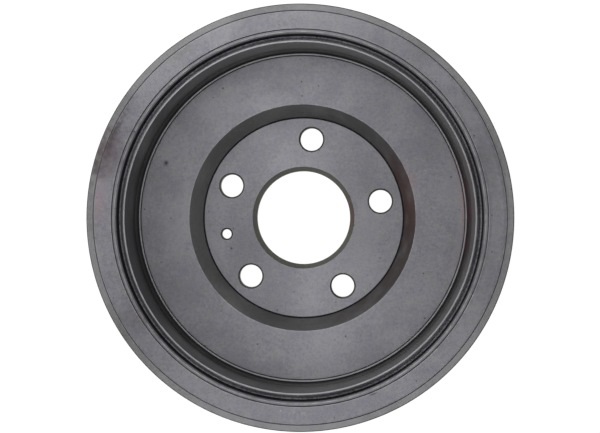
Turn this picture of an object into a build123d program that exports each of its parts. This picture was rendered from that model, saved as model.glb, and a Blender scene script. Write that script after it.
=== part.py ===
from build123d import *
import os

# Brake drum: one grey-iron casting, turned on its working faces and drilled.
# The drum lies on its wheel seat (height 0) with its axis along +Z and its open end up.
# Millimetres throughout. A radius is measured from the axis, a height from the wheel seat.

# ---- Driving dimensions -----------------------------------------------------------

FRICTION_RADIUS = 115.0        # the turned cylinder that the shoes press on
OVERALL_RADIUS = 140.0
OVERALL_HEIGHT = 75.0
BORE_RADIUS = 32.55            # pilots on the hub
STUD_CIRCLE = 110.0            # pitch circle diameter
STUD_COUNT = 5
STUD_HOLE_RADIUS = 7.9
FIRST_STUD_ANGLE = 12.0        # degrees from +X
HUB_THICKNESS = 8.0            # hub plate, clamped between hub and wheel
WEB_THICKNESS = 7.5
DISH_HEIGHT = 20.0             # the web stands this far above the hub plate, inside
FRICTION_DEPTH = 46.0          # from the open face down to the ledge

# ---- Hub plate --------------------------------------------------------------------

HUB_FACE_RADIUS = 70.1         # flat inside face that lies on the hub
BORE_LEAD_WIDTH = 3.1          # wide chamfer that guides the drum on to its hub
BORE_LEAD_HEIGHT = 4.0
BORE_EDGE_CHAMFER = 0.8
WHEEL_SEAT_RADIUS = 73.8
HUB_EDGE_RADIUS = 75.6
HUB_EDGE_HEIGHT = 1.8

STUD_HOLE_CHAMFER = 1.1
SCREW_HOLE_RADIUS = 3.3        # clearance for an M6 countersunk retaining screw
SCREW_HOLE_CHAMFER = 1.1
SCREW_HEAD_RADIUS = 6.3        # 90 degree countersink in the wheel seat
SCREW_ANGLE = FIRST_STUD_ANGLE + 180.0

# ---- Web --------------------------------------------------------------------------

DISH_MOUTH_RADIUS = 77.6       # inside cone, where it meets the web
WEB_EDGE_RADIUS = 111.4        # web face ends here, at the ledge under the friction wall
CONE_BACK_RADIUS = 84.2        # outside cone, where it meets the back of the web
CONE_BACK_CUT = 4.0

# ---- Friction wall and its lip ----------------------------------------------------

WALL_FOOT_RADIUS = 121.4       # outside of the wall, which widens upwards by its draft
WALL_HEAD_RADIUS = 122.9
CORNER_CUT = 8.0               # outside corner between web and wall
CORNER_BLEND = 12.0
LEDGE_CHAMFER = 1.4
LIP_DROP = 3.0                 # the lip stays below the open face
LIP_RADIUS = 116.1

# ---- Sealing groove and flange ----------------------------------------------------

GROOVE_DEPTH = 9.0             # the backing plate's edge runs in this groove
GROOVE_FLOOR_RADIUS = 118.6
GROOVE_WALL_RADIUS = 120.0
GROOVE_MOUTH_CHAMFER = 1.4

INNER_LAND_RADIUS = 123.5      # narrow land between the groove and the flange face
INNER_LAND_DROP = 0.5
OUTER_LAND_RADIUS = 135.05     # lower land round the flange's edge
OUTER_LAND_DROP = 0.6
RIM_CHAMFER = 0.6

FLANGE_THICKNESS = 9.0
FLANGE_ROOT_DROP = 1.4         # the back of the flange slopes down to the wall
FLANGE_ROOT_CUT = 3.5

# ---- Turned reliefs: a small vee at the foot of each step ---------------------------

RELIEF_WIDTH = 0.7
RELIEF_DEPTH = 0.5
CUTTER_OVERRUN = 1.0
SHARP = 0.0

# ---- Heights that follow ----------------------------------------------------------

WEB_FACE = HUB_THICKNESS + DISH_HEIGHT
WEB_BACK = WEB_FACE - WEB_THICKNESS
LEDGE = OVERALL_HEIGHT - FRICTION_DEPTH
LIP = OVERALL_HEIGHT - LIP_DROP
GROOVE_FLOOR = OVERALL_HEIGHT - GROOVE_DEPTH
INNER_LAND = OVERALL_HEIGHT - INNER_LAND_DROP
OUTER_LAND = OVERALL_HEIGHT - OUTER_LAND_DROP
FLANGE_BACK = OVERALL_HEIGHT - FLANGE_THICKNESS
FLANGE_ROOT = FLANGE_BACK - FLANGE_ROOT_DROP


# The half section is a run of corners, each a radius, a height and a blend radius.

def eased(before, corner, after, cut, blend):
    """Two corners in place of one: it is cut off at equal legs, and each end may be blended."""
    tip = Vector(*corner)
    legs = [(Vector(*end) - tip).normalized() * cut for end in (before, after)]
    return [((tip + leg).X, (tip + leg).Y, blend) for leg in legs]


def hub_and_web():
    """Inside face from the bore outwards: lead-in, hub face, cone of the dish, web, ledge."""
    return [
        (BORE_RADIUS, BORE_EDGE_CHAMFER, SHARP),
        (BORE_RADIUS, HUB_THICKNESS - BORE_LEAD_HEIGHT, SHARP),
        (BORE_RADIUS + BORE_LEAD_WIDTH, HUB_THICKNESS, SHARP),
        (HUB_FACE_RADIUS - RELIEF_WIDTH, HUB_THICKNESS, SHARP),
        (HUB_FACE_RADIUS, HUB_THICKNESS - RELIEF_DEPTH, SHARP),
        (DISH_MOUTH_RADIUS, WEB_FACE, SHARP),
        (WEB_EDGE_RADIUS - RELIEF_WIDTH, WEB_FACE, SHARP),
        (WEB_EDGE_RADIUS, WEB_FACE - RELIEF_DEPTH, SHARP),
        (WEB_EDGE_RADIUS, LEDGE, SHARP),
    ]


def friction_wall():
    """Foot of the wall, friction surface, and the thin lip that the wall ends in."""
    return [
        (FRICTION_RADIUS - LEDGE_CHAMFER, LEDGE, SHARP),
        (FRICTION_RADIUS, LEDGE + LEDGE_CHAMFER, SHARP),
        (FRICTION_RADIUS, LIP, SHARP),
        (LIP_RADIUS, LIP, SHARP),
    ]


def groove_and_flange():
    """Sealing groove, inner land, flange face, outer land and rim."""
    return [
        (GROOVE_FLOOR_RADIUS, GROOVE_FLOOR, SHARP),
        (GROOVE_WALL_RADIUS, GROOVE_FLOOR, SHARP),
        (GROOVE_WALL_RADIUS, INNER_LAND - GROOVE_MOUTH_CHAMFER, SHARP),
        (GROOVE_WALL_RADIUS + GROOVE_MOUTH_CHAMFER, INNER_LAND, SHARP),
        (INNER_LAND_RADIUS - RELIEF_WIDTH, INNER_LAND, SHARP),
        (INNER_LAND_RADIUS, INNER_LAND - RELIEF_DEPTH, SHARP),
        (INNER_LAND_RADIUS, OVERALL_HEIGHT, SHARP),
        (OUTER_LAND_RADIUS, OVERALL_HEIGHT, SHARP),
        (OUTER_LAND_RADIUS, OUTER_LAND - RELIEF_DEPTH, SHARP),
        (OUTER_LAND_RADIUS + RELIEF_WIDTH, OUTER_LAND, SHARP),
        (OVERALL_RADIUS - RIM_CHAMFER, OUTER_LAND, SHARP),
        (OVERALL_RADIUS, OUTER_LAND - RIM_CHAMFER, SHARP),
        (OVERALL_RADIUS, FLANGE_BACK, SHARP),
    ]


def outside():
    """Root of the flange, drafted wall, web back, cone of the dish and wheel seat."""
    flange_back = (OVERALL_RADIUS, FLANGE_BACK)
    flange_root = (WALL_HEAD_RADIUS, FLANGE_ROOT)
    wall_foot = (WALL_FOOT_RADIUS, WEB_BACK)
    cone_back = (CONE_BACK_RADIUS, WEB_BACK)
    hub_edge = (HUB_EDGE_RADIUS, HUB_EDGE_HEIGHT)
    return [
        *eased(flange_back, flange_root, wall_foot, FLANGE_ROOT_CUT, SHARP),
        *eased(flange_root, wall_foot, cone_back, CORNER_CUT, CORNER_BLEND),
        *eased(wall_foot, cone_back, hub_edge, CONE_BACK_CUT, SHARP),
        (*hub_edge, SHARP),
        (WHEEL_SEAT_RADIUS, 0.0, SHARP),
        (BORE_RADIUS + BORE_EDGE_CHAMFER, 0.0, SHARP),
    ]


def casting():
    """The half section swept once round the axis."""
    corners = hub_and_web() + friction_wall() + groove_and_flange() + outside()
    outline = FilletPolyline(
        [(radius, height) for radius, height, blend in corners],
        radius=[blend for radius, height, blend in corners],
        close=True,
    )
    return revolve(Plane.XZ * make_face(outline), axis=Axis.Z)


def drilled_hole(radius, inside_mouth, wheel_mouth):
    """Cutter for a hole through the hub plate, opened at 45 degrees to a mouth radius at each end."""
    below = -CUTTER_OVERRUN
    above = HUB_THICKNESS + CUTTER_OVERRUN
    section = Polyline(
        (0, below),
        (wheel_mouth + CUTTER_OVERRUN, below),
        (radius, wheel_mouth - radius),
        (radius, HUB_THICKNESS - (inside_mouth - radius)),
        (inside_mouth + CUTTER_OVERRUN, above),
        (0, above),
        close=True,
    )
    return revolve(Plane.XZ * make_face(section), axis=Axis.Z)


def hub_holes():
    """Five stud holes, and one countersunk screw hole on the same circle."""
    stud_mouth = STUD_HOLE_RADIUS + STUD_HOLE_CHAMFER
    stud_hole = drilled_hole(STUD_HOLE_RADIUS, stud_mouth, stud_mouth)
    screw_hole = drilled_hole(SCREW_HOLE_RADIUS, SCREW_HOLE_RADIUS + SCREW_HOLE_CHAMFER, SCREW_HEAD_RADIUS)
    pitch_radius = STUD_CIRCLE / 2
    stud_places = PolarLocations(pitch_radius, STUD_COUNT, FIRST_STUD_ANGLE)
    screw_places = PolarLocations(pitch_radius, 1, SCREW_ANGLE)
    return [place * stud_hole for place in stud_places] + [place * screw_hole for place in screw_places]


drum = casting() - hub_holes()
drum.label = "brake_drum"

os.makedirs("parts", exist_ok=True)
export_step(drum, "parts/brake_drum.step")
print("volume", round(drum.volume), "mm3, box", drum.bounding_box().size)
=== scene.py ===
# %% [markdown]
# # A brake drum, seen from its open end
#
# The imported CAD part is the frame: one node, `brake_drum`, in metres, lying on its wheel seat
# with its axis along +Z and its open end up. This lesson dresses it. The solid gives the sizes
# and the place; here the same section is spun again much more finely, with the small radii that
# a file or a tool leaves on every edge, and its surfaces get their finishes.

import math

import bmesh
import bpy
import numpy as np
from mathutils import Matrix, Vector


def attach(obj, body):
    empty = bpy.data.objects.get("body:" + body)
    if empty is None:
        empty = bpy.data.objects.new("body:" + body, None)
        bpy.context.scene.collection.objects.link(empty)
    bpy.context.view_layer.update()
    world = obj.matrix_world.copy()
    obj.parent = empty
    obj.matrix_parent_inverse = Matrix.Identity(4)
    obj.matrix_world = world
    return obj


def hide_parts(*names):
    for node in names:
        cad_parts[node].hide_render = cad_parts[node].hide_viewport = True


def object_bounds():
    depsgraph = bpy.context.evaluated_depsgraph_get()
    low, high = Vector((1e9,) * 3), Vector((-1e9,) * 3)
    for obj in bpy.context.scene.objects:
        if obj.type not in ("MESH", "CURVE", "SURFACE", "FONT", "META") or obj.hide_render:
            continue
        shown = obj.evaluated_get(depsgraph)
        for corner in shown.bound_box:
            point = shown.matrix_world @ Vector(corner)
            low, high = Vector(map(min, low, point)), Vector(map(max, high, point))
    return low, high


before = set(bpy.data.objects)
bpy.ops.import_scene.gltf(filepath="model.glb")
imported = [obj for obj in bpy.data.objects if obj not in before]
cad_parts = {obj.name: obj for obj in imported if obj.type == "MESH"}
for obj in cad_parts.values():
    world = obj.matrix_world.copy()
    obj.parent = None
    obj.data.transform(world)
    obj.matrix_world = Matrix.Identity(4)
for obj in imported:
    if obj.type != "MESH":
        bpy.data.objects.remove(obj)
cad_low, cad_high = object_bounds()
print("CAD nodes", list(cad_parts))
print("CAD box", [round(c, 4) for c in cad_low], [round(c, 4) for c in cad_high])

# %% [markdown]
# ## Camera
#
# The camera looks almost straight down into the drum from about a metre away, a little to one
# side of the axis, so the deeper rings seem to slide sideways. An unturned camera already looks
# down -Z with +Y at the top of its view, so one small turn about Y aims this one back at the
# drum: an aiming helper could also roll the view, and a plain angle can't.

# %% Camera
CAMERA_PLACE = (0.0455, 0.0008, 1.014)
CAMERA_TURN = math.radians(2.726)  # about Y, towards -X
CAMERA_LENS = 86.45  # millimetres, for a sensor 36 mm wide


def add_object(name, data):
    """Put a mesh, a lamp or a camera into the scene, and give its object."""
    made = bpy.data.objects.new(name, data)
    bpy.context.scene.collection.objects.link(made)
    return made


camera_data = bpy.data.cameras.new("camera")
camera_data.lens = CAMERA_LENS
camera = add_object("camera", camera_data)
camera.location = CAMERA_PLACE
camera.rotation_euler = (0.0, CAMERA_TURN, 0.0)
bpy.context.scene.camera = camera
print("camera stands", CAMERA_PLACE, "and turns", round(math.degrees(CAMERA_TURN), 2), "degrees")

# %% [markdown]
# ## The half section
#
# A drum is turned on a lathe, so one outline says everything about it except the holes. It could
# be drawn as a curve and spun by a modifier, but a list of corners keeps every size in sight,
# and lets each corner say which finish runs on from it. A corner is a radius, a height, the
# small radius that rounds it off, and that finish. The sizes are the solid's own, in
# millimetres. A radius is measured from the axis and a height from the wheel seat.

# %% Finish numbers, which the mesh's faces carry
TURNED = 0  # coated turned face
WALL = 1  # friction wall, which the shoes press on
CAST = 2  # outside, as it left the mould
LAND = 3  # lower land round the flange's edge
BORED = 4  # wall of a hole
CONE = 5  # cone of the dish
GROOVE = 6  # back of the lip, and floor of the sealing groove
RELIEF = 7  # the small vee at the foot of a step, darkened partly as painted shade
CORNER_SHADE = 8  # corner painted black, as painted shade

# %% Units and shared sizes
MM = 0.001
FINE_EDGE = 0.12  # an edge broken with a file
TOOL_EDGE = 0.3  # the radius that a tool tip or a casting leaves
NO_EDGE = 0.0  # no corner: only the finish changes
RELIEF_WIDTH = 0.7
RELIEF_DEPTH = 0.5


def leg(tip, end):
    """The direction of the straight line from tip to end, and its length."""
    way = np.array(end) - np.array(tip)
    length = np.hypot(*way)
    return way / length, length


def point_towards(tip, end, distance):
    """The point on the straight line from tip to end, the given distance from tip."""
    direction, _ = leg(tip, end)
    return tuple(np.array(tip) + direction * distance)


def cut_corner(before, corner, after, cut):
    """Two points in place of a corner: each lies on one leg, the same distance from the corner."""
    return [point_towards(corner, end, cut) for end in (before, after)]


# %% [markdown]
# ### Hub face, dish and web
#
# The flat hub face lies on the wheel's hub. Its edge drops into a small turned vee, and from
# there the cone of the dish climbs to the web. The web ends in a vee too, at the ledge under the
# friction wall. The corners at the foot of these slopes are painted black, as painted shade.

# %% From the hub face outwards to the ledge
HUB = 8.0  # height of the hub face
HUB_EDGE = 70.1
WEB = 28.0  # height of the web
DISH_MOUTH = 77.6
WEB_EDGE = 111.4
LEDGE = 29.0  # height of the ledge
DISH_FOOT_SHADE = 0.7  # the painted shade reaches this far up the foot of the dish
LEDGE_SHADE_START = 112.3  # and outside this radius it covers the ledge

dish_foot = (HUB_EDGE, HUB - RELIEF_DEPTH)
dish_mouth = (DISH_MOUTH, WEB)
HUB_AND_WEB = [
    (HUB_EDGE - RELIEF_WIDTH, HUB, FINE_EDGE, CORNER_SHADE),
    (*dish_foot, FINE_EDGE, CORNER_SHADE),
    (*point_towards(dish_foot, dish_mouth, DISH_FOOT_SHADE), NO_EDGE, CONE),
    (*dish_mouth, FINE_EDGE, TURNED),
    (WEB_EDGE - RELIEF_WIDTH, WEB, FINE_EDGE, RELIEF),
    (WEB_EDGE, WEB - RELIEF_DEPTH, FINE_EDGE, RELIEF),
    (WEB_EDGE, LEDGE, FINE_EDGE, TURNED),
    (LEDGE_SHADE_START, LEDGE, NO_EDGE, CORNER_SHADE),
]
print("hub and web:", len(HUB_AND_WEB), "corners")

# %% [markdown]
# ### Friction wall, lip and sealing groove
#
# The wall ends in a thin lip. Behind the lip runs a deep groove that the backing plate's edge
# turns in, to keep water off the shoes. Its floor meets its outer side in a deep corner, which
# is painted black as shade.

# %% From the foot of the wall over the lip, through the groove
FRICTION = 115.0
LEDGE_CHAMFER = 1.4
LIP = 72.0  # height of the lip
LIP_EDGE = 116.1
GROOVE_FLOOR = 66.0
GROOVE_INNER = 118.6
GROOVE_OUTER = 120.0
GROOVE_BLEND = 0.6
GROOVE_MOUTH = 1.4  # chamfer between the groove and the inner land
MOUTH_BLEND = 0.8
INNER_LAND = 74.5
FLOOR_SHADE_START = 119.65  # outside this radius the groove's floor is painted black, as shade
MOUTH_SHADE = 0.4  # and so is this much of the chamfer

groove_rim = INNER_LAND - GROOVE_MOUTH
WALL_AND_GROOVE = [
    (FRICTION - LEDGE_CHAMFER, LEDGE, FINE_EDGE, WALL),
    (FRICTION, LEDGE + LEDGE_CHAMFER, TOOL_EDGE, WALL),
    (FRICTION, LIP, TOOL_EDGE, TURNED),
    (LIP_EDGE, LIP, FINE_EDGE, GROOVE),
    (GROOVE_INNER, GROOVE_FLOOR, GROOVE_BLEND, GROOVE),
    (FLOOR_SHADE_START, GROOVE_FLOOR, NO_EDGE, CORNER_SHADE),
    (GROOVE_OUTER, GROOVE_FLOOR, TOOL_EDGE, CORNER_SHADE),
    (GROOVE_OUTER, groove_rim, TOOL_EDGE, CORNER_SHADE),
    (GROOVE_OUTER + MOUTH_SHADE, groove_rim + MOUTH_SHADE, NO_EDGE, TURNED),
    (GROOVE_OUTER + GROOVE_MOUTH, INNER_LAND, MOUTH_BLEND, TURNED),
]
print("wall and groove:", len(WALL_AND_GROOVE), "corners")

# %% [markdown]
# ### Flange
#
# The flange has three levels, a fraction of a millimetre apart: the inner land, the face, and an
# outer land that runs to the rim. A vee marks each step. The rim takes its radius from the
# solid's box, because the solid is made of flat facets and its box is a hair smaller on some
# sides than a true circle.

# %% From the inner land to the back of the rim
TOP = 75.0
OUTER_LAND = 74.4
FACE_INNER = 123.5
FACE_OUTER = 135.05
RIM = min(-cad_low[0], -cad_low[1], cad_high[0], cad_high[1]) / MM  # the widest ring in the box
RIM_CHAMFER = 0.6
RIM_BACK_EDGE = 1.2
FLANGE_BACK = 66.0

FLANGE = [
    (FACE_INNER - RELIEF_WIDTH, INNER_LAND, FINE_EDGE, RELIEF),
    (FACE_INNER, INNER_LAND - RELIEF_DEPTH, FINE_EDGE, RELIEF),
    (FACE_INNER, TOP, FINE_EDGE, TURNED),
    (FACE_OUTER, TOP, FINE_EDGE, RELIEF),
    (FACE_OUTER, OUTER_LAND - RELIEF_DEPTH, FINE_EDGE, RELIEF),
    (FACE_OUTER + RELIEF_WIDTH, OUTER_LAND, FINE_EDGE, LAND),
    (RIM - RIM_CHAMFER, OUTER_LAND, FINE_EDGE, RELIEF),
    (RIM, OUTER_LAND - RIM_CHAMFER, FINE_EDGE, LAND),
    (RIM, FLANGE_BACK, RIM_BACK_EDGE, CAST),
]
print("flange:", len(FLANGE), "corners, rim radius", round(RIM, 3))

# %% [markdown]
# ### Outside
#
# Outside, the iron stays as cast: the back of the flange slopes down to its root, the wall
# narrows towards the wheel so that it leaves its mould, and large radii lead round to the back
# of the web and down the cone. Only the wheel seat and its shoulder are machined.

# %% From the root of the flange back to the wheel seat
WALL_HEAD = 122.9
FLANGE_ROOT = 64.6
FLANGE_ROOT_CUT = 3.5
FLANGE_ROOT_BLEND = 4.0
WALL_FOOT = 121.4
WEB_BACK = 20.5
CORNER_CUT = 8.0
CORNER_BLEND = 12.0
CONE_BACK = 84.2
CONE_BACK_CUT = 4.0
CONE_BACK_BLEND = 6.0
SEAT_SHOULDER = 75.6
SEAT_SHOULDER_HEIGHT = 1.8
SEAT_EDGE = 73.8

flange_back = (RIM, FLANGE_BACK)
flange_root = (WALL_HEAD, FLANGE_ROOT)
wall_foot = (WALL_FOOT, WEB_BACK)
cone_back = (CONE_BACK, WEB_BACK)
seat_shoulder = (SEAT_SHOULDER, SEAT_SHOULDER_HEIGHT)


def cast_corner(before, corner, after, cut, radius):
    """A corner as the mould leaves it: cut off at equal legs, with both ends rounded."""
    return [(*point, radius, CAST) for point in cut_corner(before, corner, after, cut)]


OUTSIDE = [
    *cast_corner(flange_back, flange_root, wall_foot, FLANGE_ROOT_CUT, FLANGE_ROOT_BLEND),
    *cast_corner(flange_root, wall_foot, cone_back, CORNER_CUT, CORNER_BLEND),
    *cast_corner(wall_foot, cone_back, seat_shoulder, CONE_BACK_CUT, CONE_BACK_BLEND),
    (*seat_shoulder, TOOL_EDGE, TURNED),
    (SEAT_EDGE, 0.0, TOOL_EDGE, TURNED),
]
print("outside:", len(OUTSIDE), "corners")

# %% [markdown]
# ### Bore
#
# The centre bore sits on a ring of the hub. A wide chamfer on the inside leads it there.

# %% From the wheel seat up through the bore
BORE = 32.55
BORE_EDGE = 0.8
LEAD_WIDTH = 3.1
LEAD_HEIGHT = 4.0

BORE_SECTION = [
    (BORE + BORE_EDGE, 0.0, FINE_EDGE, BORED),
    (BORE, BORE_EDGE, FINE_EDGE, BORED),
    (BORE, HUB - LEAD_HEIGHT, FINE_EDGE, BORED),
    (BORE + LEAD_WIDTH, HUB, FINE_EDGE, TURNED),
]
print("bore:", len(BORE_SECTION), "corners")

# %% [markdown]
# ## Rounding the section
#
# Every corner becomes a short arc. A Bevel modifier could round the edges too, but it wouldn't
# tell a material where they are. Beside each arc one more point, the shoulder, holds the flat
# surface flat: without it smooth shading would bend the light across the whole face. The same
# shoulders let an edge mask fade out in the last millimetre before an edge, for worn metal on
# corners that stand out and for dark oxide in corners that lie in.

# %% The arc of one corner
FEWEST_STEPS = 2
STEP_DENSITY = 1.2


def arc_steps(turn, radius):
    """How many steps an arc takes: more for a wide turn and for a large radius."""
    return FEWEST_STEPS + int(abs(turn) * radius**0.5 * STEP_DENSITY)


def corner_arc(tip, inward, outward, turn, left, leave):
    """Points of the arc that rounds a corner, from its inward leg to its outward leg.

    The arc leaves each leg at the distance leave from the tip, so its radius is
    leave / tan(turn / 2), and its centre lies on the bisector of the legs. Its first point is
    turned about that centre in equal steps, to the left or to the right as the legs turn.
    """
    radius = leave / math.tan(turn / 2)
    bisector = inward + outward
    centre = tip + bisector / np.hypot(*bisector) * math.hypot(leave, radius)
    first = tip + inward * leave - centre
    angles = left * turn * np.linspace(0, 1, arc_steps(turn, radius) + 1)
    cosine = np.cos(angles)
    sine = np.sin(angles)
    turned = [first[0] * cosine - first[1] * sine, first[0] * sine + first[1] * cosine]
    return centre + np.stack(turned, axis=1)


# %% The whole rounded outline
SHOULDER = 0.9  # the shoulder lies this far from its arc
SHOULDER_SHARE = 0.3  # or this share of the leg, where that is less
ARC_SHARE = 0.45  # an arc takes no more than this share of a leg
SHARP_TURN = math.radians(45)  # a corner that turns this much is a full edge
SHARP_RADIUS = 1.2  # and a rounder one than this isn't sharp any more


def round_section(corners, start, end):
    """The rounded outline from start to end through the corners.

    An arc of radius r fits a corner whose legs turn by the angle a when it leaves each leg
    r * tan(a / 2) from the tip. The walk keeps the metal on its right, so a turn to the right
    goes round an outer edge. Returns points, the finish of the stretch after each point, and how
    sharply the metal turns there: up to 1 on an outer edge, down to -1 in an inner corner or
    beside the painted corner shade, 0 on a flat.
    """
    tips = [start, *[corner[:2] for corner in corners], end]
    points = [start]
    finishes = [TURNED]
    edges = [0.0]
    for index, (radius_at, height_at, blend_radius, next_finish) in enumerate(corners):
        finish = finishes[-1]
        tip = np.array((radius_at, height_at))
        if blend_radius == NO_EDGE:
            points.append(tuple(tip))
            finishes.append(next_finish)
            edges.append(0.0)
            continue
        inward, length_in = leg(tip, tips[index])
        outward, length_out = leg(tip, tips[index + 2])
        turn = math.pi - math.acos(np.clip(inward @ outward, -1, 1))
        left = np.sign(inward[1] * outward[0] - inward[0] * outward[1])
        leave = min(blend_radius * math.tan(turn / 2), ARC_SHARE * length_in, ARC_SHARE * length_out)
        arc = corner_arc(tip, inward, outward, turn, left, leave)
        shoulder_in = tip + inward * (leave + min(SHOULDER, SHOULDER_SHARE * length_in))
        shoulder_out = tip + outward * (leave + min(SHOULDER, SHOULDER_SHARE * length_out))
        points += [tuple(point) for point in (shoulder_in, *arc, shoulder_out)]
        before_middle = 1 + len(arc) // 2
        finishes += [finish] * before_middle + [next_finish] * (len(arc) + 2 - before_middle)
        radius = leave / math.tan(turn / 2)
        sharpness = min(turn / SHARP_TURN, 1.0) * min(SHARP_RADIUS / radius, 1.0)
        bend = -1.0 if CORNER_SHADE in (finish, next_finish) else -float(left) * sharpness
        edges += [0.0] + [bend] * len(arc) + [0.0]
    points.append(end)
    finishes.append(finishes[-1])
    edges.append(0.0)
    return np.array(points), np.array(finishes), np.array(edges)


# %% Outer outline and bore outline
PLATE_MARGIN = 1.4  # the hub plate's own mesh starts this far inside its edges
hub_inner = BORE + LEAD_WIDTH + PLATE_MARGIN
hub_outer = HUB_EDGE - RELIEF_WIDTH - PLATE_MARGIN
seat_inner = BORE + BORE_EDGE + PLATE_MARGIN
seat_outer = SEAT_EDGE - PLATE_MARGIN

outer_corners = HUB_AND_WEB + WALL_AND_GROOVE + FLANGE + OUTSIDE
outer_section = round_section(outer_corners, (hub_outer, HUB), (seat_outer, 0.0))
bore_section = round_section(BORE_SECTION, (seat_inner, 0.0), (hub_inner, HUB))
print("section points", len(outer_section[0]), "and", len(bore_section[0]))

# %% [markdown]
# ## Spinning the section
#
# The spun surface is a grid: one direction goes round the axis, the other along the section. A
# point at radius r and angle a is (r cos a, r sin a, height). The whole grid is worked out as
# arrays, and its quads are index arithmetic.

# %% Grid helpers
SEGMENTS = 360


def grid_faces(rows, columns, first):
    """Quads of a grid that is stored row by row, each row a closed ring.

    The quad of a point joins it to the next point of its ring and to the same two of the next.
    """
    row, column = np.meshgrid(np.arange(rows - 1), np.arange(columns), indexing="ij")
    right = (column + 1) % columns
    low = first + row * columns
    high = low + columns
    return np.stack([low + column, low + right, high + right, high + column], axis=-1).reshape(-1, 4)


def spin(section):
    """A section carried once round the axis: point (r, height) at angle a is (r cos a, r sin a, height).

    Returns vertices, the finish of each quad, the edge value of each vertex, rows and columns.
    """
    points, finishes, edges = section
    angle = np.linspace(0, 2 * np.pi, SEGMENTS, endpoint=False)
    radius = points[:, :1]
    height = points[:, 1:]
    place = np.broadcast_arrays(radius * np.cos(angle), radius * np.sin(angle), height)
    vertices = np.stack(place, axis=-1).reshape(-1, 3) * MM
    return vertices, np.repeat(finishes[:-1], SEGMENTS), np.repeat(edges, SEGMENTS), len(points), SEGMENTS


# %% [markdown]
# ## The hub plate and its holes
#
# The hub plate is flat, with six holes on one circle: five for the wheel studs and a small one
# for the screw that keeps the drum on its hub. A boolean would leave long slivers there. Instead
# each hole gets a cell: a slice of the ring with the hole in it. Every point of the cell's
# border is joined by a straight line to the hole's rim, so the quads fan out evenly and
# neighbouring cells share their border points.

# %% Where the holes are
STUD_CIRCLE_RADIUS = 55.0
STUD_COUNT = 5
STUD_STEP = 360 // STUD_COUNT
FIRST_STUD = 12  # degrees from +X
SCREW_ANGLE = FIRST_STUD + 180
SCREW_CELL = 15  # the screw hole's cell reaches this far to each side, in degrees
STUD_RADII = (7.9, 9.0, 9.0)  # of the hole, its mouth inside and its mouth at the wheel seat
SCREW_RADII = (3.3, 4.4, 6.3)


def stud_cell(angle):
    """A stud hole with its cell: half a step to each side, or up to the screw hole's cell."""
    first = angle - STUD_STEP // 2
    last = angle + STUD_STEP // 2
    if angle < SCREW_ANGLE:
        last = min(last, SCREW_ANGLE - SCREW_CELL)
    else:
        first = max(first, SCREW_ANGLE + SCREW_CELL)
    return angle, first, last, *STUD_RADII


stud_holes = [stud_cell(FIRST_STUD + STUD_STEP * stud) for stud in range(STUD_COUNT)]
screw_hole = (SCREW_ANGLE, SCREW_ANGLE - SCREW_CELL, SCREW_ANGLE + SCREW_CELL, *SCREW_RADII)
HOLES = sorted([*stud_holes, screw_hole])
print("holes at", [hole[0] for hole in HOLES], "degrees")

# %% The border of a cell, and the outline of a hole's wall
SIDE_STEPS = 12  # steps along a cell's straight sides
RIM_MARGIN = 1.0  # flat ring round a mouth, so that the light doesn't bend across the face


def cell_border(inner, outer, first, last):
    """Points once round a slice of a ring: out arc, side, in arc, side, none repeated."""
    steps = int((last - first) * SEGMENTS / 360)
    arc = np.radians(np.linspace(first, last, steps + 1))
    side = np.linspace(0, 1, SIDE_STEPS + 1)[1:-1]
    radius = np.concatenate([
        np.full(steps + 1, outer), outer + (inner - outer) * side,
        np.full(steps + 1, inner), inner + (outer - inner) * side,
    ])
    angle = np.concatenate([arc, np.full(side.size, arc[-1]), arc[::-1], np.full(side.size, arc[0])])
    return np.stack([radius * np.cos(angle), radius * np.sin(angle)], axis=-1)


def hole_section(hole, inside_mouth, wheel_mouth):
    """Outline of a hole's wall from the wheel seat up to the inside face, edges broken."""
    corners = [
        (wheel_mouth, 0.0, FINE_EDGE, BORED),
        (hole, wheel_mouth - hole, FINE_EDGE, BORED),
        (hole, HUB - (inside_mouth - hole), FINE_EDGE, BORED),
        (inside_mouth, HUB, FINE_EDGE, TURNED),
    ]
    return round_section(corners, (wheel_mouth + RIM_MARGIN, 0.0), (inside_mouth + RIM_MARGIN, HUB))


# %% One cell of the hub plate
CELL_STEPS = 5  # rings of quads between the border and the hole's mouth
RING_SPACING = 0.8  # a power below 1 draws these rings a little towards the mouth


def bored_cell(place, first, last, hole, inside_mouth, wheel_mouth):
    """One slice of the hub plate: wheel seat, hole wall and inside face as a single grid.

    Row by row the grid goes from the seat's border to the hole, up through it, and out again
    over the inside face. A row on a face is a straight mix of border and mouth, and each of its
    points lies in the same direction from the hole's centre. Returns what spin returns.
    """
    turn = math.radians(place)
    centre = STUD_CIRCLE_RADIUS * np.array((math.cos(turn), math.sin(turn)))
    seat = cell_border(seat_inner, seat_outer, first, last)
    face = cell_border(hub_inner, hub_outer, first, last)
    points, finishes, edges = hole_section(hole, inside_mouth, wheel_mouth)
    direction = face - centre
    direction = direction / np.linalg.norm(direction, axis=1, keepdims=True)
    rows = [direction * radius + centre for radius in points[:, 0]]
    shares = np.linspace(0, 1, CELL_STEPS, endpoint=False) ** RING_SPACING
    fan_in = [seat + (rows[0] - seat) * share for share in shares]
    fan_out = [face + (rows[-1] - face) * share for share in shares[::-1]]
    flat_finish = np.full(CELL_STEPS, TURNED)
    flat_edge = np.zeros(CELL_STEPS)
    heights = np.concatenate([np.zeros(CELL_STEPS), points[:, 1], np.full(CELL_STEPS, HUB)])
    finishes = np.concatenate([flat_finish, finishes[:-1], flat_finish])
    edges = np.concatenate([flat_edge, edges, flat_edge])
    columns = len(face)
    across = np.concatenate([*fan_in, *rows, *fan_out])
    vertices = np.column_stack([across, np.repeat(heights, columns)]) * MM
    return vertices, np.repeat(finishes, columns), np.repeat(edges, columns), len(heights), columns
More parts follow.
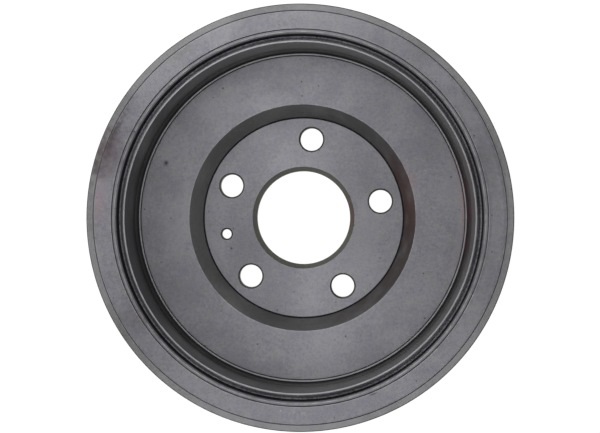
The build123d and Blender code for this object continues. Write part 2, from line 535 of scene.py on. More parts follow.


# %% [markdown]
# ## One closed mesh
#
# The spun strips and the cells are stacked into one list of vertices and quads. Points that
# meet are merged, which closes the drum. Its volume is then printed: a closed mesh that faces
# outwards has a positive volume close to the CAD value of 726.86 cubic centimetres.

# %% Stack the grids and make the mesh
grids = [spin(outer_section), spin(bore_section), *(bored_cell(*hole) for hole in HOLES)]
quads = []
count = 0
for vertices, _, _, rows, columns in grids:
    quads.append(grid_faces(rows, columns, count))
    count += len(vertices)
all_vertices, quad_finish, edge_values = [
    np.concatenate([grid[part] for grid in grids]) for part in range(3)
]
all_quads = np.concatenate(quads)

drum_mesh = bpy.data.meshes.new("brake_drum_visual")
drum_mesh.from_pydata(all_vertices.tolist(), [], all_quads.tolist())
drum_mesh.polygons.foreach_set("material_index", quad_finish.astype(np.int32))
drum_mesh.polygons.foreach_set("use_smooth", np.ones(len(all_quads), bool))
edge_attribute = drum_mesh.attributes.new("edge", "FLOAT", "POINT")
edge_attribute.data.foreach_set("value", edge_values.astype(np.float32))
print("grids", len(grids), "vertices", len(all_vertices), "quads", len(all_quads))

# %% Merge the points that meet, and measure
WELD = 2e-6  # metres, far less than the finest step of the mesh
CUBIC_CM = 1e6  # in a cubic metre

editing = bmesh.new()
editing.from_mesh(drum_mesh)
bmesh.ops.remove_doubles(editing, verts=editing.verts, dist=WELD)
bmesh.ops.recalc_face_normals(editing, faces=editing.faces)
open_edges = sum(not edge.is_manifold for edge in editing.edges)
volume = editing.calc_volume(signed=True) * CUBIC_CM
editing.to_mesh(drum_mesh)
editing.free()
print("quads", len(drum_mesh.polygons), "open edges", open_edges, "volume cm3", round(volume, 2))

# %% Put the drum in the scene, in place of the solid
drum = add_object("drum_casting", drum_mesh)
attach(drum, "root")
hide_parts("brake_drum")
print("piece", drum.name, "rides on root")

# %% [markdown]
# ## Building materials from nodes
#
# A material is a small graph. A few helpers keep it readable: one adds a node, sets it up and
# links what it is given, and the others write a sum, a smooth step, a noise or a mix of colours
# in one line. Effects that several finishes share are node groups, so that each finish can place
# them with its own numbers.

# %% Node helpers
MIX_SHARE = 0  # the Mix node's colour sockets, by number
MIX_FIRST = 6
MIX_SECOND = 7
MIX_RESULT = 2
FINE_DETAIL = 4.0  # finer layers in a noise, each half as large as the last


def add_node(tree, kind, inputs=None, **settings):
    """Add a node; settings are its own options, inputs are values or sockets to link from."""
    made = tree.nodes.new(kind)
    for name, value in settings.items():
        setattr(made, name, value)
    for key, value in (inputs or {}).items():
        if isinstance(value, bpy.types.NodeSocket):
            tree.links.new(value, made.inputs[key])
        else:
            made.inputs[key].default_value = value
    return made


def maths(tree, operation, *values):
    """The output of one Math node on numbers or sockets."""
    return add_node(tree, "ShaderNodeMath", dict(enumerate(values)), operation=operation).outputs[0]


def fade(tree, value, start, end, low=0.0, high=1.0):
    """A smooth step: low at start and high at end, level outside them."""
    inputs = {"Value": value, "From Min": start, "From Max": end, "To Min": low, "To Max": high}
    return add_node(tree, "ShaderNodeMapRange", inputs, interpolation_type="SMOOTHSTEP").outputs["Result"]


def mix(tree, share, first, second):
    """Mix two colours: share 0 gives the first, 1 the second."""
    inputs = {MIX_SHARE: share, MIX_FIRST: first, MIX_SECOND: second}
    return add_node(tree, "ShaderNodeMix", inputs, data_type="RGBA").outputs[MIX_RESULT]


# %% Places and noise in object space
def object_place(tree):
    """Object coordinates as a vector in millimetres."""
    place = add_node(tree, "ShaderNodeTexCoord").outputs["Object"]
    scale = add_node(tree, "ShaderNodeVectorMath", {0: place, "Scale": 1 / MM}, operation="SCALE")
    return scale.outputs["Vector"]


def split_place(tree, place):
    """The X, Y and Z of a place as three outputs."""
    return add_node(tree, "ShaderNodeSeparateXYZ", {0: place}).outputs


def flat_reach(tree, split):
    """Distance from the axis: the root of x squared plus y squared."""
    squares = [maths(tree, "MULTIPLY", split[name], split[name]) for name in ("X", "Y")]
    return maths(tree, "SQRT", maths(tree, "ADD", *squares))


def noise(tree, place, size, detail, roughness=0.5):
    """Noise of about 0 to 1 whose blotches are about size millimetres across.

    The size is a number, or a socket where it comes from a group's input.
    """
    scale = 1 / size if isinstance(size, float) else maths(tree, "DIVIDE", 1.0, size)
    inputs = {"Vector": place, "Scale": scale, "Detail": detail, "Roughness": roughness}
    return add_node(tree, "ShaderNodeTexNoise", inputs).outputs["Fac"]


# %% Node groups
def new_group(name, inputs, outputs):
    """An empty node group with number inputs (name: default) and number outputs."""
    tree = bpy.data.node_groups.new(name, "ShaderNodeTree")
    for label, default in inputs.items():
        socket = tree.interface.new_socket(label, in_out="INPUT", socket_type="NodeSocketFloat")
        socket.default_value = default
    for label in outputs:
        tree.interface.new_socket(label, in_out="OUTPUT", socket_type="NodeSocketFloat")
    return tree, tree.nodes.new("NodeGroupInput").outputs, tree.nodes.new("NodeGroupOutput").inputs


def close_group(tree, result, outputs):
    """Link each value to the output of its name, and print the group's size."""
    for label, value in outputs.items():
        tree.links.new(value, result[label])
    print("group", tree.name, "with", len(tree.nodes), "nodes")


def place_group(tree, group, values=None):
    """Put a node group into a material, with its own values, and give its outputs."""
    return add_node(tree, "ShaderNodeGroup", values, node_tree=group).outputs


# %% [markdown]
# ## Turning marks
#
# A lathe tool moves along the section while the drum turns, so it cuts one long spiral. Its
# height is a sine of the distance along the section plus the angle, which meets itself cleanly
# after each turn. The tool also wavers, so a slow noise of the same distance lifts and lowers
# whole bands. Modelled grooves would need millions of faces, and a bump map needs none.

# %% Group: turning marks
SPIRAL_SHARE = 0.25  # how high the spiral is beside the bands
BAND_DETAIL = 3.0

turning_marks, given, result = new_group("turning_marks", {"Pitch": 0.3, "Band": 2.5}, ["Height"])
split = split_place(turning_marks, object_place(turning_marks))
along = maths(turning_marks, "ADD", flat_reach(turning_marks, split), split["Z"])
angle = maths(turning_marks, "ARCTAN2", split["Y"], split["X"])
turns = maths(turning_marks, "DIVIDE", along, given["Pitch"])
phase = maths(turning_marks, "ADD", maths(turning_marks, "MULTIPLY", turns, 2 * math.pi), angle)
spiral = maths(turning_marks, "MULTIPLY", maths(turning_marks, "SINE", phase), SPIRAL_SHARE)
band_place = maths(turning_marks, "DIVIDE", along, given["Band"])
bands = add_node(
    turning_marks, "ShaderNodeTexNoise",
    {"W": band_place, "Scale": 1.0, "Detail": BAND_DETAIL}, noise_dimensions="1D",
).outputs["Fac"]
close_group(turning_marks, result, {"Height": maths(turning_marks, "ADD", spiral, bands)})

# %% [markdown]
# ## Coat grain
#
# The coat that keeps the drum from rusting on the shelf is thin and dries unevenly. It shows a
# fine speckle, wide soft clouds, patches that are bluer or greyer, dark pits, and glints of bare
# metal. Pits and glints are Voronoi cells: near a cell's centre the distance is small, and the
# cell's random colour says how large its spot is. A painted texture would show its pixels close
# up, while these stay sharp.

# %% Group: coat grain
coat_grain, given, result = new_group(
    "coat_grain", {"Grain": 2.8, "Cloud": 30.0, "Patch": 7.0, "Spot spacing": 6.0},
    ["Speckle", "Clouds", "Patches", "Pits", "Glints"],
)
NOISES = [  # output, input with its size, detail, roughness
    ("Speckle", "Grain", 3.0, 0.8),
    ("Clouds", "Cloud", FINE_DETAIL, 0.5),
    ("Patches", "Patch", 1.0, 0.5),
]
place = object_place(coat_grain)
grain_outputs = {
    label: noise(coat_grain, place, given[size], detail, roughness)
    for label, size, detail, roughness in NOISES
}

# %% Pits and glints of the same group
SPOTS = [  # output, draw at which a spot vanishes, draw at which it is largest, largest radius
    ("Pits", 0.4, 1.0, 0.15),
    ("Glints", 0.4, 0.0, 0.13),
]
NO_SPOT = 0.001  # a radius too small to see
SPOT_CORE = 0.3  # a spot has its full strength inside this share of its radius

density = maths(coat_grain, "DIVIDE", 1.0, given["Spot spacing"])
cells = add_node(coat_grain, "ShaderNodeTexVoronoi", {"Vector": place, "Scale": density})
draw = add_node(coat_grain, "ShaderNodeSeparateColor", {0: cells.outputs["Color"]}).outputs["Red"]
for label, none, most, radius in SPOTS:
    spot_radius = fade(coat_grain, draw, none, most, NO_SPOT, radius)
    share = maths(coat_grain, "DIVIDE", cells.outputs["Distance"], spot_radius)
    grain_outputs[label] = fade(coat_grain, share, 1.0, SPOT_CORE)
close_group(coat_grain, result, grain_outputs)

# %% [markdown]
# ## Edges
#
# The mesh carries a number called `edge`: 1 on corners that stand out, -1 in corners that lie in
# or beside the painted corner shade, nearer 0 on large soft corners, and it runs back to 0 across
# the narrow shoulder beside them. Broken up by a noise, the first gives rubbed, brighter metal and
# the second a dark oxide line in a corner, which beside the painted corner shade is painted shade
# too. Blender's Pointiness could find edges too, but it depends on how finely each corner is
# divided.

# %% Group: edge marks
RUBBED_EDGES = (0.5, 1.0)  # the rubbing starts and is full at these edge values
RUBBED_BREAKS = (0.3, 0.65)  # and the noise breaks it up between these
OXIDE_EDGES = (-0.25, -1.0)
OXIDE_BREAKS = (0.2, 0.5)
LEAST_OXIDE = 0.55  # where the noise is lowest

edge_marks, given, result = new_group("edge_marks", {"Break-up": 6.0}, ["Rubbed", "Oxide"])
edge = add_node(edge_marks, "ShaderNodeAttribute", attribute_name="edge").outputs["Fac"]
uneven = noise(edge_marks, object_place(edge_marks), given["Break-up"], FINE_DETAIL)
rubbed = maths(
    edge_marks, "MULTIPLY", fade(edge_marks, edge, *RUBBED_EDGES), fade(edge_marks, uneven, *RUBBED_BREAKS)
)
oxide = maths(
    edge_marks, "MULTIPLY", fade(edge_marks, edge, *OXIDE_EDGES),
    fade(edge_marks, uneven, *OXIDE_BREAKS, LEAST_OXIDE),
)
close_group(edge_marks, result, {"Rubbed": rubbed, "Oxide": oxide})

# %% [markdown]
# ## Smudges
#
# Brown where the coat is thin, dark smears and single spots are all one shape: a patch that
# follows the ring it lies on. The point is first turned back by the patch's angle, so that the
# patch sits on the +X side. How far it then is from the patch's radius, and how far round the
# ring, give a distance that is 0 in the middle and 1 at the border, and a noise frays it.

# %% Group: smudge
FRAY_DEPTH = 1.8  # how much the noise, from -0.5 to 0.5, moves the border

smudge, given, result = new_group(
    "smudge", {"Angle": 0.0, "Radius": 100.0, "Along": 10.0, "Across": 5.0, "Fray": 5.0}, ["Mask"]
)
place = object_place(smudge)
back = maths(smudge, "RADIANS", maths(smudge, "MULTIPLY", given["Angle"], -1.0))
turned = add_node(smudge, "ShaderNodeVectorRotate", {"Vector": place, "Angle": back}, rotation_type="Z_AXIS")
split = split_place(smudge, turned.outputs["Vector"])
outwards = maths(smudge, "SUBTRACT", flat_reach(smudge, split), given["Radius"])
round_ring = maths(smudge, "MULTIPLY", maths(smudge, "ARCTAN2", split["Y"], split["X"]), given["Radius"])
across = maths(smudge, "DIVIDE", outwards, given["Across"])
along = maths(smudge, "DIVIDE", round_ring, given["Along"])

# %% The frayed border of the same group
squares = [maths(smudge, "MULTIPLY", reach, reach) for reach in (across, along)]
distance = maths(smudge, "SQRT", maths(smudge, "ADD", *squares))
uneven = maths(smudge, "SUBTRACT", noise(smudge, place, given["Fray"], FINE_DETAIL), 0.5)
ragged = maths(smudge, "ADD", distance, maths(smudge, "MULTIPLY", uneven, FRAY_DEPTH))
close_group(smudge, result, {"Mask": fade(smudge, ragged, 1.0, 0.0)})

# %% [markdown]
# ## One function for every finish
#
# All the finishes are one grey coat over iron, so one function lays the graph and each finish
# gives its numbers. The coat is mostly metallic: flat faces then mirror the bright room in their
# own grey, and steep walls mirror the dark inside of the drum, as bare machined walls do. A
# turned face scatters light across its grooves and hardly along them, which is anisotropy with
# a tangent that runs round the axis.

# %% Tones that the finishes share
PIT_TONE = (0.03, 0.029, 0.031, 1.0)
RUST_TONE = (0.1, 0.045, 0.036, 1.0)
# dark smears, and also painted shade
SMEAR_AND_SHADE_TONE = (0.03, 0.024, 0.025, 1.0)
# dark oxide, and also painted shade
OXIDE_AND_SHADE_TONE = (0.012, 0.012, 0.013, 1.0)
RUBBED_TONE = (0.46, 0.46, 0.47, 1.0)
# painted shade beside the flange's lines
LINE_SHADE_TONE = (0.06, 0.06, 0.065, 1.0)

# %% The mottled coat
MOTTLE = (0.42, 0.58)  # half speckle and half clouds: dark tone below, light tone above
PATCH = (0.35, 0.65)
PATCH_TINT = (0.7, 1.3)  # from a greyer patch to a more colourful one
HOLLOW_LUMPS = (0.32, 0.58)  # lumps lower than this are darkened, as painted shade in the hollows


def mottled_coat(tree, grain, lumps, dark, light, hollow_shade, rub):
    """The colour of the coat: two mottled tones, tinted patches, painted shade in the hollows, pits and
    glints.
    """
    speckle = maths(tree, "MULTIPLY", grain["Speckle"], 0.5)
    mottle = maths(tree, "ADD", speckle, maths(tree, "MULTIPLY", grain["Clouds"], 0.5))
    colour = mix(tree, fade(tree, mottle, *MOTTLE), dark, light)
    tint = fade(tree, grain["Patches"], *PATCH, *PATCH_TINT)
    colour = add_node(tree, "ShaderNodeHueSaturation", {"Color": colour, "Saturation": tint}).outputs[0]
    # painted shade in the hollows of the lumps
    colour = mix(tree, fade(tree, lumps, *HOLLOW_LUMPS, hollow_shade, 0.0), colour, OXIDE_AND_SHADE_TONE)
    colour = mix(tree, grain["Pits"], colour, PIT_TONE)
    return mix(tree, maths(tree, "MULTIPLY", grain["Glints"], rub), colour, RUBBED_TONE)


# %% Smudges, painted shades and edges over the coat
def stained(tree, colour, smudges, painted_shades):
    """The colour with its smudges, and with its painted shades, which darken a wall by height."""
    for angle, radius, along, across, fray, strength, tone in smudges:
        values = {"Angle": angle, "Radius": radius, "Along": along, "Across": across, "Fray": fray}
        mask = place_group(tree, smudge, values)["Mask"]
        colour = mix(tree, maths(tree, "MULTIPLY", mask, strength), colour, tone)
    # painted shade, darker by height
    for darkest, ends, depth in painted_shades:
        height = split_place(tree, object_place(tree))["Z"]
        colour = mix(tree, fade(tree, height, darkest, ends, depth, 0.0), colour, OXIDE_AND_SHADE_TONE)
    return colour


def worn_edges(tree, colour, rub, oxide):
    """The colour with rubbed metal on outer edges and dark oxide in inner corners."""
    edges = place_group(tree, edge_marks)
    colour = mix(tree, maths(tree, "MULTIPLY", edges["Rubbed"], rub), colour, RUBBED_TONE)
    return mix(tree, maths(tree, "MULTIPLY", edges["Oxide"], oxide), colour, OXIDE_AND_SHADE_TONE)


# %% A whole finish
LUMP_SIZE = 1.3  # the lumps and hollows of the skin, in millimetres
LUMP_ROUGHNESS = 0.55
ROUGHNESS_SPREAD = 0.16  # the speckle makes the coat rougher and smoother by half of this
ROUND_THE_AXIS = 0.25  # a quarter turn: the wide side of the highlight lies across the grooves

finishes = {}


def drum_finish(number, name, dark, light, metallic, roughness, anisotropy=0.0, marks=0.0, skin=8e-6,
                rub=0.0, oxide=0.0, hollow_shade=0.0, smudges=(), painted_shades=(), specular=0.5):
    """A coated iron finish, stored under its finish number.

    dark and light are the two tones of the mottled coat. marks is the height of the turning
    marks and skin the height of the cast skin, both in metres. rub is how much brighter metal an
    outer edge shows, oxide how much dark an inner corner holds, and hollow_shade how much painted
    shade darkens the hollows of the skin. A smudge is an angle, a radius, a half length, a half
    width, the size of its fray, a strength and a tone. A painted shade is a height where the
    surface is darkest, the height where that ends, and how much. specular is how much the coat
    shines apart from its metal.
    """
    material = bpy.data.materials.new(name)
    material.use_nodes = True
    tree = material.node_tree
    shader = tree.nodes["Principled BSDF"]
    grain = place_group(tree, coat_grain)
    lumps = noise(tree, object_place(tree), LUMP_SIZE, FINE_DETAIL, LUMP_ROUGHNESS)
    colour = mottled_coat(tree, grain, lumps, dark, light, hollow_shade, rub)
    colour = stained(tree, colour, smudges, painted_shades)
    tree.links.new(worn_edges(tree, colour, rub, oxide), shader.inputs["Base Color"])

    uneven = maths(tree, "MULTIPLY", grain["Speckle"], ROUGHNESS_SPREAD)
    rough = maths(tree, "ADD", uneven, roughness - ROUGHNESS_SPREAD / 2)
    tree.links.new(rough, shader.inputs["Roughness"])
    shader.inputs["Metallic"].default_value = metallic
    shader.inputs["Specular IOR Level"].default_value = specular
    shader.inputs["Anisotropic"].default_value = anisotropy
    shader.inputs["Anisotropic Rotation"].default_value = ROUND_THE_AXIS
    tangent = add_node(tree, "ShaderNodeTangent", direction_type="RADIAL", axis="Z")
    tree.links.new(tangent.outputs[0], shader.inputs["Tangent"])

    lathe = maths(tree, "MULTIPLY", place_group(tree, turning_marks)["Height"], marks)
    height = maths(tree, "ADD", lathe, maths(tree, "MULTIPLY", lumps, skin))
    bump = add_node(tree, "ShaderNodeBump", {"Height": height, "Distance": 1.0, "Strength": 1.0})
    tree.links.new(bump.outputs[0], shader.inputs["Normal"])
    finishes[number] = material
    print("finish", name, "with", len(tree.nodes), "nodes and", len(smudges), "smudges")


# %% [markdown]
# ## Turned faces
#
# The flange, the web and the hub face are turned and then coated. The coat is bluish grey. It is
# smeared and browned on one side of the flange. Painted shade darkens the flange along its lines,
# on its +X side and in patches, and reaches in crumbs over the ledge. Painted highlights lighten
# the lip, the ledge's inner edge and patches of the web and the hub face. A few spots are placed
# one by one, and the rest comes from the grain.

# %% Smudges of the turned faces: angle, radius, half length, half width, fray, strength, tone
WHOLE_RING = 2000  # a half length that goes round and round, so the smudge is a full ring
# painted highlight
PAINTED_HIGHLIGHT_TONE = (0.2, 0.2, 0.208, 1.0)
# painted light
PAINTED_LIGHT_TONE = (0.16, 0.158, 0.168, 1.0)
PINK_TONE = (0.2, 0.1, 0.11, 1.0)

FLANGE_SMUDGES = [
    (157, 133.5, 30, 4.5, 3.0, 0.75, (0.034, 0.024, 0.03, 1.0)),  # smear along the outer line
    (162, 131.0, 22, 9.0, 4.0, 0.5, (0.07, 0.042, 0.052, 1.0)),  # its brown tail
    (161, 127.0, 28, 22.0, 12.0, 0.3, SMEAR_AND_SHADE_TONE),  # painted shade round both
    (176, 132.0, 22, 7.0, 5.0, 0.35, (0.19, 0.12, 0.145, 1.0)),  # pink below them
    # painted shade: a dark band across the flange
    (211, 128.0, 19, 24.0, 12.0, 0.3, SMEAR_AND_SHADE_TONE),
    (125, 132.5, 17, 5.0, 4.0, 0.35, (0.06, 0.065, 0.055, 1.0)),
    (15, 127.0, 30, 7.0, 3.0, 0.25, SMEAR_AND_SHADE_TONE),
    (5, 129.0, 165, 13.0, 20.0, 0.27, (0.06, 0.06, 0.063, 1.0)),  # painted shade: the +X side darker
    (92, 128.5, 75, 9.0, 20.0, 0.12, SMEAR_AND_SHADE_TONE),
    (0, 124.5, 125, 1.7, 4.0, 0.45, LINE_SHADE_TONE),  # painted shade beside the two lines
    (10, 134.0, 115, 2.0, 3.0, 0.5, (0.065, 0.065, 0.078, 1.0)),
    (293, 124.6, 3.4, 0.8, 30.0, 0.7, SMEAR_AND_SHADE_TONE),  # a scratch near the inner line
    (0, 122.0, WHOLE_RING, 2.6, 8.0, 0.22, SMEAR_AND_SHADE_TONE),  # the inner land is a little duller
]
WEB_SMUDGES = [
    (158, 100.9, 4.0, 3.6, 30.0, 0.8, OXIDE_AND_SHADE_TONE),  # one blurred spot
    (158, 100.9, 2.4, 2.2, 30.0, 1.0, OXIDE_AND_SHADE_TONE),  # and its core
    (203, 55.0, 1.3, 1.3, 30.0, 0.9, SMEAR_AND_SHADE_TONE),  # one more beside the screw hole
    (0, 115.5, WHOLE_RING, 1.4, 8.0, 0.5, PAINTED_HIGHLIGHT_TONE),  # painted highlight on the lip
    (0, 111.8, WHOLE_RING, 0.8, 8.0, 0.6, PAINTED_HIGHLIGHT_TONE),  # painted highlight on the ledge's inner edge
    (0, 109.5, 60, 2.5, 6.0, 0.3, PINK_TONE),  # pink along the web's outer line
    (18, 80.0, 15, 3.5, 5.0, 0.2, PINK_TONE),  # and beside the rust of the dish
    # painted light: lighter patches of the web and the hub face
    (0, 108.0, 70, 4.0, 10.0, 0.3, PAINTED_LIGHT_TONE),
    (8, 42.0, 16, 6.0, 6.0, 0.4, PAINTED_LIGHT_TONE),
    (183, 93.0, 42, 14.0, 10.0, 0.25, PAINTED_LIGHT_TONE),
    (195, 112.9, 130, 1.3, 1.6, 0.6, OXIDE_AND_SHADE_TONE),  # crumbs of painted shade on the ledge
]

# %% Turned coat
drum_finish(
    TURNED, "turned_coat", (0.111, 0.109, 0.122, 1.0), (0.139, 0.137, 0.149, 1.0),
    metallic=0.8, roughness=0.42, anisotropy=0.75, marks=4e-6, skin=6e-6,
    rub=0.2, oxide=1.0, hollow_shade=0.16, smudges=FLANGE_SMUDGES + WEB_SMUDGES,
)

# %% [markdown]
# ## Friction wall
#
# The wall is finished finer than the faces, for the shoes. Painted shade makes it nearly black at
# its foot and a little darker towards its head, and it has rust on one side, while a long painted
# shade darkens the other.

# %% Friction wall
WALL_SMUDGES = [
    (4, 115.0, 60, 10.0, 14.0, 0.4, RUST_TONE),
    # painted shade: the wall's -X side darker
    (190, 115.0, 215, 10.0, 40.0, 0.82, SMEAR_AND_SHADE_TONE),
]
WALL_PAINTED_SHADES = [(29.0, 31.0, 0.9), (30.0, 42.0, 0.2), (72.5, 52.0, 0.14)]  # painted shade: foot, lower wall, head

drum_finish(
    WALL, "friction_wall", (0.14, 0.14, 0.141, 1.0), (0.18, 0.18, 0.178, 1.0),
    metallic=0.8, roughness=0.36, anisotropy=0.6, marks=3e-6, skin=2e-6,
    rub=0.1, hollow_shade=0.15, smudges=WALL_SMUDGES, painted_shades=WALL_PAINTED_SHADES,
)

# %% [markdown]
# ## Cast skin
#
# The outside is the skin that the sand mould left, under the same coat: no turning marks, lumps
# a fifth of a millimetre high, and painted shade in the hollows.

# %% Cast skin
drum_finish(
    CAST, "cast_skin", (0.1, 0.1, 0.098, 1.0), (0.16, 0.159, 0.157, 1.0),
    metallic=0.1, roughness=0.55, skin=2e-4, rub=0.3, oxide=1.0, hollow_shade=0.5,
)

# %% [markdown]
# ## Rim land
#
# The land round the rim is turned less finely, and handling has made it greyer. The smear of the
# flange runs on over it.

# %% Rim land
LAND_SMUDGES = [
    (161, 137.5, 32, 5.0, 4.0, 0.75, (0.05, 0.034, 0.034, 1.0)),
    # painted shade: the dark band across the flange goes on over the land
    (211, 137.5, 19, 6.0, 6.0, 0.35, SMEAR_AND_SHADE_TONE),
    # painted highlight: the -Y side of the land lighter
    (275, 137.5, 130, 9.0, 9.0, 0.4, (0.18, 0.175, 0.19, 1.0)),
    (10, 136.2, 115, 1.4, 3.0, 0.4, LINE_SHADE_TONE),  # the painted shade beside the line goes on beyond it
]

drum_finish(
    LAND, "rim_land", (0.108, 0.107, 0.11, 1.0), (0.139, 0.138, 0.142, 1.0),
    metallic=0.75, roughness=0.48, anisotropy=0.6, marks=5e-6, skin=1.5e-5,
    rub=0.1, oxide=1.0, hollow_shade=0.1, smudges=LAND_SMUDGES,
)

# %% [markdown]
# ## Holes
#
# The bore and the stud holes are cut through the plate, and their walls keep a film of oil that
# turns the grey slightly green. The bore has rusted on one side.

# %% Bored walls
BORE_SMUDGES = [(6, 34.0, 20, 9.0, 6.0, 0.5, RUST_TONE)]

drum_finish(
    BORED, "bored_wall", (0.08, 0.08, 0.069, 1.0), (0.105, 0.104, 0.09, 1.0),
    metallic=0.7, roughness=0.45, anisotropy=0.3, marks=3e-6, skin=3e-6,
    oxide=1.0, smudges=BORE_SMUDGES,
)

# %% [markdown]
# ## Cone of the dish
#
# The cone is dark and matt all round, and on one side the coat is thin enough for brown rust to
# show through. Several wide smudges lie over each other, so that the brown has no clear border.

# %% Dish cone
CONE_SMUDGES = [
    (5, 76.0, 56, 40.0, 11.0, 1.0, (0.06, 0.028, 0.025, 1.0)),
    (14, 76.0, 56, 40.0, 40.0, 0.45, (0.06, 0.03, 0.028, 1.0)),
    (332, 76.0, 70, 40.0, 11.0, 0.75, (0.045, 0.03, 0.028, 1.0)),
    (55, 76.0, 55, 40.0, 12.0, 0.5, (0.034, 0.032, 0.034, 1.0)),
    (285, 76.0, 110, 40.0, 20.0, 0.3, SMEAR_AND_SHADE_TONE),
]

drum_finish(
    CONE, "cone_skin", (0.092, 0.092, 0.091, 1.0), (0.125, 0.125, 0.124, 1.0),
    metallic=0.1, roughness=0.55, rub=0.1, oxide=1.0, smudges=CONE_SMUDGES,
)

# %% [markdown]
# ## Sealing groove
#
# Little light reaches the groove, so its tones are written lighter than they look. Its skin is
# rough, and painted shade darkens its hollows.

# %% Groove
GROOVE_SMUDGES = [
    (190, 119.0, 140, 12.0, 20.0, 0.55, SMEAR_AND_SHADE_TONE),
    (22, 119.0, 110, 12.0, 20.0, 0.45, SMEAR_AND_SHADE_TONE),
]

drum_finish(
    GROOVE, "groove_skin", (0.17, 0.17, 0.186, 1.0), (0.285, 0.285, 0.31, 1.0),
    metallic=0.1, roughness=0.65, skin=4e-5, hollow_shade=0.68, smudges=GROOVE_SMUDGES,
)

# %% [markdown]
# ## Reliefs and painted corner shade
#
# The turned vees hold coat and dust, and their dark colour also paints in the shade of the vee,
# so they read as thin dark lines. The painted corner shade is black. A black surface that shines
# would mirror the white room and turn grey, so its specular is nearly off.

# %% Relief cuts and painted corner shade
RELIEF_SMUDGES = [
    (8, 127.8, 130, 11.0, 4.0, 0.85, (0.14, 0.14, 0.15, 1.0)),  # the flange's lines fade on one side
    (0, 139.8, WHOLE_RING, 2.4, 8.0, 0.95, OXIDE_AND_SHADE_TONE),  # painted shade on the rim's outermost edge
]
CORNER_SHADE_SMUDGES = [(0, 113.0, 60, 3.0, 10.0, 0.9, (0.045, 0.014, 0.022, 1.0))]  # rust in the ledge's corner

# the vees' dark colour is partly painted shade
drum_finish(
    RELIEF, "relief_cut", (0.065, 0.065, 0.065, 1.0), (0.084, 0.084, 0.084, 1.0),
    metallic=0.1, roughness=0.55, oxide=1.0, smudges=RELIEF_SMUDGES, specular=0.3,
)
# painted shade: the black corners
drum_finish(
    CORNER_SHADE, "painted_corner_shade", (0.01, 0.01, 0.011, 1.0), (0.014, 0.014, 0.016, 1.0),
    metallic=0.0, roughness=0.6, smudges=CORNER_SHADE_SMUDGES, specular=0.08,
)

# %% Give the mesh its finishes, in the order of their numbers
for number in sorted(finishes):
    drum_mesh.materials.append(finishes[number])
print("finishes", [material.name for material in drum_mesh.materials])

# %% [markdown]
# ## Room and floor
#
# The room is white to the camera and to reflections, but lights the drum softly: Light Path
# tells a camera ray or a reflected ray from a ray that gathers light. The floor does the same
# and keeps a little plain diffuse, so the drum's shadow still lies on it.

# %% Room
ROOM_WHITE = (1.0, 1.0, 1.0, 1.0)
ROOM_FILL = 0.45  # what the room gives as light


def seen_directly(tree):
    """1 for camera, reflected and transmitted rays, 0 for rays that gather light."""
    path = add_node(tree, "ShaderNodeLightPath").outputs
    either = maths(tree, "MAXIMUM", path["Is Camera Ray"], path["Is Glossy Ray"])
    return maths(tree, "MAXIMUM", either, path["Is Transmission Ray"])


bpy.context.scene.view_settings.view_transform = "Standard"
room = bpy.data.worlds.new("white_room")
room.use_nodes = True
bpy.context.scene.world = room
background = room.node_tree.nodes["Background"]
background.inputs["Color"].default_value = ROOM_WHITE
strength = fade(room.node_tree, seen_directly(room.node_tree), 0.0, 1.0, ROOM_FILL, 1.0)
room.node_tree.links.new(strength, background.inputs["Strength"])
print("room", room.name, "gives", ROOM_FILL)

# %% Floor
FLOOR_REACH = 6.0
FLOOR_DROP = -0.0002  # just under the wheel seat, so that the two faces never fight
FLOOR_CORNERS = [(-1, -1), (1, -1), (1, 1), (-1, 1)]

floor_mesh = bpy.data.meshes.new("floor")
floor_points = [(x * FLOOR_REACH, y * FLOOR_REACH, FLOOR_DROP) for x, y in FLOOR_CORNERS]
floor_mesh.from_pydata(floor_points, [], [(0, 1, 2, 3)])
floor = add_object("floor", floor_mesh)
print("floor reaches", FLOOR_REACH, "m each way")

# %% Floor finish
FLOOR_PALE = (0.8, 0.8, 0.8, 1.0)  # to rays that gather light
FLOOR_FAINT = (0.12, 0.12, 0.12, 1.0)  # to the camera: just enough to take a shadow
FLOOR_GLOW = 0.96  # and with it this much white

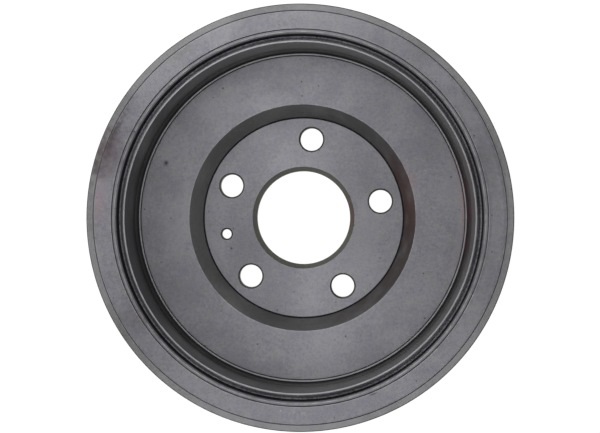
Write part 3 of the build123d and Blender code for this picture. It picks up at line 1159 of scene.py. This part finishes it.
paper = bpy.data.materials.new("pale_floor")
paper.use_nodes = True
tree = paper.node_tree
tree.nodes.clear()
plain = add_node(tree, "ShaderNodeBsdfDiffuse", {"Color": FLOOR_PALE})
faint = add_node(tree, "ShaderNodeBsdfDiffuse", {"Color": FLOOR_FAINT})
glow = add_node(tree, "ShaderNodeEmission", {"Color": ROOM_WHITE, "Strength": FLOOR_GLOW})
both = add_node(tree, "ShaderNodeAddShader", {0: faint.outputs[0], 1: glow.outputs[0]})
chosen = add_node(
    tree, "ShaderNodeMixShader", {0: seen_directly(tree), 1: plain.outputs[0], 2: both.outputs[0]}
)
add_node(tree, "ShaderNodeOutputMaterial", {"Surface": chosen.outputs[0]})
floor_mesh.materials.append(paper)
print("floor finish", paper.name)

# %% [markdown]
# ## Lamps
#
# Soft, wide lamps hang round the drum, 0.7 to 0.9 m from its middle, the strongest on its +Y
# side. Turned faces answer each lamp with a bright fan that runs out from the axis, so a lamp's
# place round the drum decides where the flange and the web are brightest.

# %% Lamps
LAMPS = [  # name, angle round the drum, tilt from straight overhead, distance, width, height, watts
    ("top_softbox", 116, 42, 0.7, 0.5, 0.2, 1.12),
    ("top_fill", 105, 20, 0.8, 0.35, 0.25, 0.76),
    ("left_softbox", 182, 42, 0.7, 0.2, 0.2, 0.36),
    ("bottom_softbox", 255, 42, 0.7, 0.3, 0.2, 0.28),
    ("bottom_fill", 270, 20, 0.8, 0.25, 0.25, 0.39),
    ("overhead", 0, 0, 0.9, 0.4, 0.4, 0.88),
]


def softbox(name, angle, tilt, distance, width, height, watts):
    """A rectangular area lamp on a sphere round the drum, turned to face its middle."""
    turn = math.radians(angle)
    lean = math.radians(tilt)
    lamp = bpy.data.lights.new(name, "AREA")
    lamp.shape = "RECTANGLE"
    lamp.size = height
    lamp.size_y = width
    lamp.energy = watts
    box = add_object(name, lamp)
    box.location = (
        distance * math.sin(lean) * math.cos(turn),
        distance * math.sin(lean) * math.sin(turn),
        distance * math.cos(lean),
    )
    box.rotation_euler = (0.0, lean, turn)
    box.visible_camera = False


for lamp in LAMPS:
    softbox(*lamp)
print("lamps", len(LAMPS), "with", round(sum(lamp[-1] for lamp in LAMPS), 2), "watts in all")
